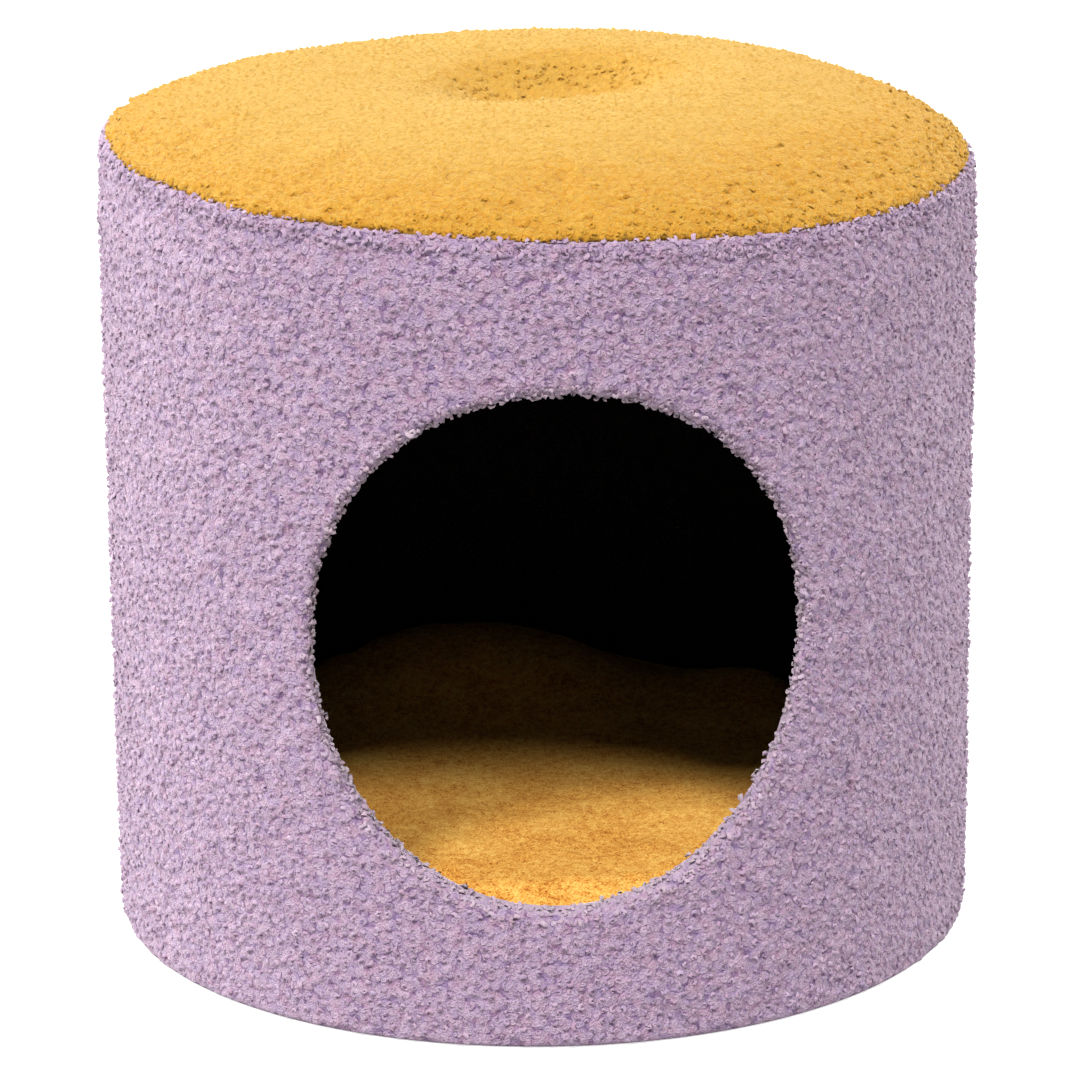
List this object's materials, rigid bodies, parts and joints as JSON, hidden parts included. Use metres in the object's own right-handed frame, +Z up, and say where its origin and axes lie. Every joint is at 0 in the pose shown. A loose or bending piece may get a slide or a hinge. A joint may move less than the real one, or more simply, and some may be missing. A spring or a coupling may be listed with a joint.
{
  "type": "cat house",
  "caption": "Round fleece-covered drum house for a cat, with a round doorway, a crowned seat pad on top with a tufted dimple, a dark lining and a loose plush cushion inside.",
  "frame": {"origin": "middle of the house on the floor", "axes": "+Z up, the doorway faces -Y and the left of the picture is -X"},
  "size_m": [0.3996, 0.3998, 0.3961],
  "materials": {
    "wall_fleece": "curly fleece",
    "top_fleece": "curly fleece",
    "lining_cloth": "plain woven",
    "cushion_plush": "short plush",
    "base_cloth": "plain felt"
  },
  "bodies": {
    "root": {"wall_cover": "wall_fleece", "top_pad": "top_fleece", "lining": "lining_cloth", "inner_cushion": "cushion_plush", "base_panel": "base_cloth"}
  },
  "joints": []
}
